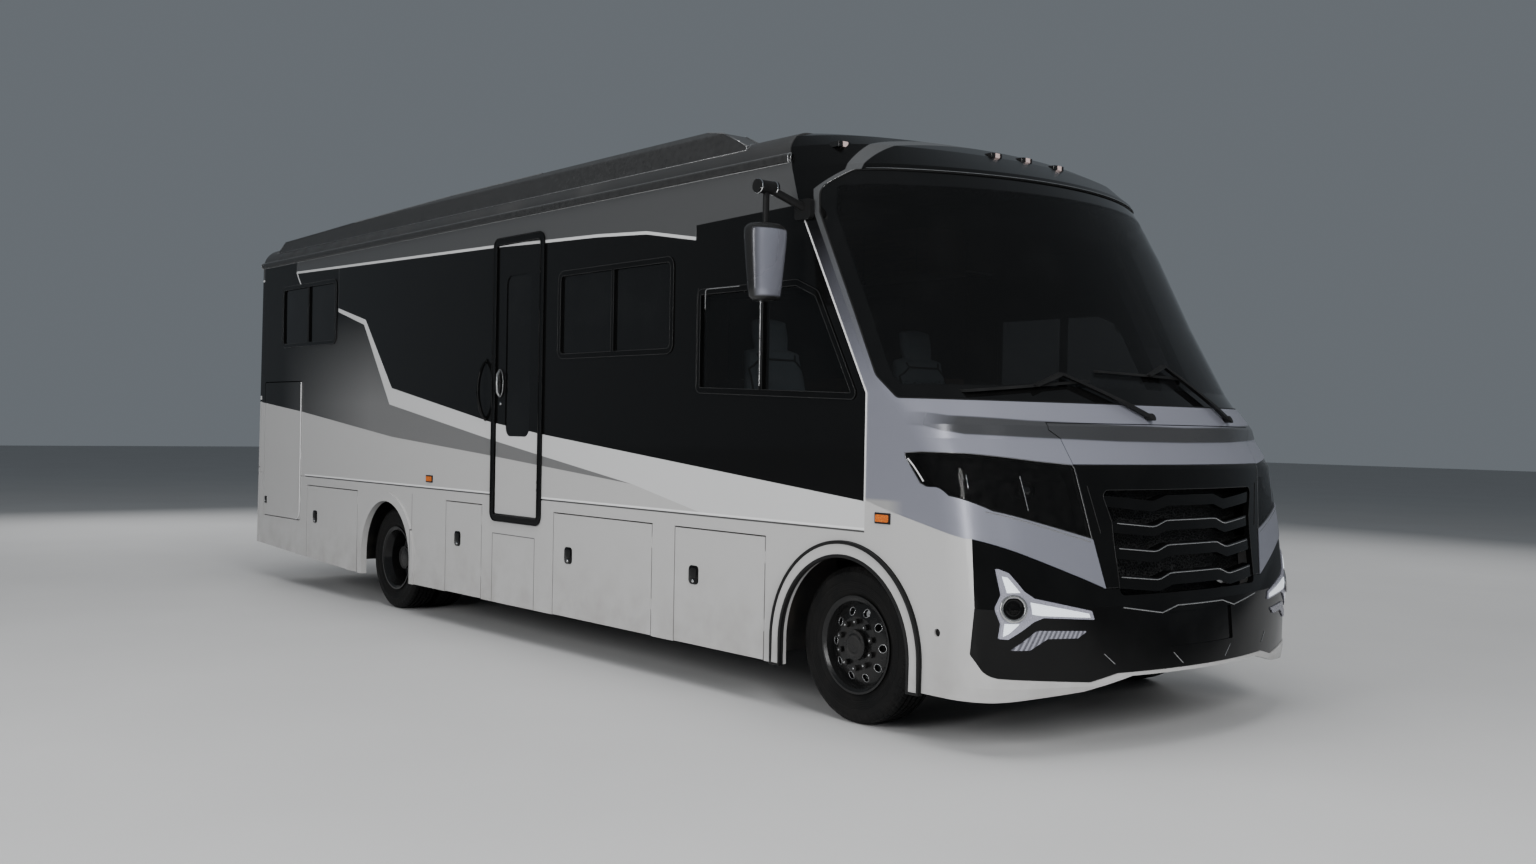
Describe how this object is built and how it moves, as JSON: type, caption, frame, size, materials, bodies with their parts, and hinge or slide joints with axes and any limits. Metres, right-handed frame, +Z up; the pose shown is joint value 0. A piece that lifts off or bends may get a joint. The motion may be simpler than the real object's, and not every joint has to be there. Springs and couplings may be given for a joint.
{
  "type": "motorhome",
  "caption": "Full-size front-engined motorhome with a wrapped nose cap, hollow cabin, entry door, skirt lockers, roof hatch, steered front wheels and twin rear wheels.",
  "frame": {"origin": "on the ground at the centre of the vehicle's box", "axes": "+X to the nose, +Y to the left side, +Z up"},
  "size_m": [8.9968, 3.13, 3.0499],
  "materials": {
    "nose_paint": "metallic gloss",
    "side_paint": "gloss with stripes",
    "roof_paint": "satin",
    "black_gloss": "gloss",
    "black_matte": "moulded",
    "clear_glass": "tinted",
    "lamp_lens": "smoked gloss",
    "lamp_white": "frosted",
    "amber_lens": "gloss",
    "red_lens": "gloss",
    "tyre_rubber": "worn rubber",
    "wheel_black": "satin",
    "chassis_black": "satin",
    "seat_leather": "soft leather",
    "cabinet_wood": "satin veneer",
    "cabin_floor": "textured",
    "mirror_silver": "metallic gloss"
  },
  "bodies": {
    "motorhome": {"front_cap": "nose_paint", "windscreen": "clear_glass", "grille": "black_gloss", "grille_surround": "black_gloss", "bumper_front": "black_gloss", "headlamps": "black_matte", "lamp_lenses": "lamp_lens", "hood": "nose_paint", "bumper_shell": "side_paint", "entry_step": "cabin_floor", "marker_lamps": "amber_lens", "side_walls": "side_paint", "skirts": "side_paint", "arch_flares": "side_paint", "rear_wall": "side_paint", "rear_lamps": "red_lens", "rear_bumper": "black_matte", "roof_shell": "roof_paint", "roof_rails": "black_gloss", "roof_units": "roof_paint", "floor_deck": "cabin_floor", "window_frames": "black_gloss", "window_glass": "clear_glass", "door_frame": "black_gloss", "grab_handle": "black_gloss", "mirror_arms": "black_matte", "mirror_heads": "mirror_silver", "wipers": "black_matte", "chassis_frame": "chassis_black", "engine_block": "chassis_black", "fuel_tank": "chassis_black", "front_axle": "chassis_black", "rear_axle": "chassis_black", "dashboard": "black_matte", "seat_cushions": "seat_leather", "cabin_furniture": "cabinet_wood", "locker_bins": "chassis_black", "daytime_lamps": "lamp_white"},
    "entry_door": {"entry_door": "side_paint", "entry_door_glass": "clear_glass"},
    "utility_door": {"utility_door": "side_paint"},
    "roof_hatch": {"roof_hatch_lid": "black_matte"},
    "bay_right_rear": {"bay_door_right_rear": "side_paint"},
    "bay_right_mid": {"bay_door_right_mid": "side_paint"},
    "bay_right_front": {"bay_door_right_front": "side_paint"},
    "bay_right_cab": {"bay_door_right_cab": "side_paint"},
    "bay_left_rear": {"bay_door_left_rear": "side_paint"},
    "bay_left_mid": {"bay_door_left_mid": "side_paint"},
    "bay_left_front": {"bay_door_left_front": "side_paint"},
    "knuckle_left": {"knuckle_left": "chassis_black"},
    "front_wheel_left": {"front_tyre_left": "tyre_rubber", "front_rim_left": "wheel_black"},
    "rear_wheels_left": {"rear_tyres_left": "tyre_rubber", "rear_rims_left": "wheel_black"},
    "knuckle_right": {"knuckle_right": "chassis_black"},
    "front_wheel_right": {"front_tyre_right": "tyre_rubber", "front_rim_right": "wheel_black"},
    "rear_wheels_right": {"rear_tyres_right": "tyre_rubber", "rear_rims_right": "wheel_black"}
  },
  "joints": [
    {"name": "entry_door_hinge", "type": "hinge", "parent": "motorhome", "child": "entry_door", "pos_m": [0.45, -1.235, 1.7], "axis": [0, 0, 1], "range_deg": [0, 110]},
    {"name": "utility_door_hinge", "type": "hinge", "parent": "motorhome", "child": "utility_door", "pos_m": [-3.46, -1.225, 1.1], "axis": [0, 0, 1], "range_deg": [0, 90]},
    {"name": "bay_right_rear_hinge", "type": "hinge", "parent": "motorhome", "child": "bay_right_rear", "pos_m": [-2.294, -1.225, 0.55], "axis": [0, 0, 1], "range_deg": [0, 90]},
    {"name": "bay_right_mid_hinge", "type": "hinge", "parent": "motorhome", "child": "bay_right_mid", "pos_m": [-0.279, -1.225, 0.55], "axis": [0, 0, 1], "range_deg": [0, 90]},
    {"name": "bay_right_front_hinge", "type": "hinge", "parent": "motorhome", "child": "bay_right_front", "pos_m": [1.714, -1.225, 0.55], "axis": [0, 0, 1], "range_deg": [0, 90]},
    {"name": "bay_right_cab_hinge", "type": "hinge", "parent": "motorhome", "child": "bay_right_cab", "pos_m": [2.718, -1.225, 0.55], "axis": [0, 0, 1], "range_deg": [0, 90]},
    {"name": "bay_left_rear_hinge", "type": "hinge", "parent": "motorhome", "child": "bay_left_rear", "pos_m": [-2.294, 1.225, 0.55], "axis": [0, 0, -1], "range_deg": [0, 90]},
    {"name": "bay_left_mid_hinge", "type": "hinge", "parent": "motorhome", "child": "bay_left_mid", "pos_m": [0.639, 1.225, 0.55], "axis": [0, 0, -1], "range_deg": [0, 90]},
    {"name": "bay_left_front_hinge", "type": "hinge", "parent": "motorhome", "child": "bay_left_front", "pos_m": [2.718, 1.225, 0.55], "axis": [0, 0, -1], "range_deg": [0, 90]},
    {"name": "roof_hatch_hinge", "type": "hinge", "parent": "motorhome", "child": "roof_hatch", "pos_m": [-0.954, 0, 2.993], "axis": [0, 1, 0], "range_deg": [0, 60]},
    {"name": "steer_left", "type": "hinge", "parent": "motorhome", "child": "knuckle_left", "pos_m": [3.31, 0.95, 0.38], "axis": [0, 0, 1], "range_deg": [-35, 35]},
    {"name": "steer_right", "type": "hinge", "parent": "motorhome", "child": "knuckle_right", "pos_m": [3.31, -0.95, 0.38], "axis": [0, 0, 1], "range_deg": [-35, 35]},
    {"name": "front_spin_left", "type": "hinge", "parent": "knuckle_left", "child": "front_wheel_left", "pos_m": [3.31, 1.048, 0.38], "axis": [0, 1, 0], "continuous": true},
    {"name": "rear_spin_left", "type": "hinge", "parent": "motorhome", "child": "rear_wheels_left", "pos_m": [-1.76, 0.9255, 0.38], "axis": [0, 1, 0], "continuous": true},
    {"name": "front_spin_right", "type": "hinge", "parent": "knuckle_right", "child": "front_wheel_right", "pos_m": [3.31, -1.048, 0.38], "axis": [0, 1, 0], "continuous": true},
    {"name": "rear_spin_right", "type": "hinge", "parent": "motorhome", "child": "rear_wheels_right", "pos_m": [-1.76, -0.9255, 0.38], "axis": [0, 1, 0], "continuous": true}
  ],
  "couplings": [
    {"joint": "steer_right", "follows": "steer_left", "ratio": 1}
  ]
}
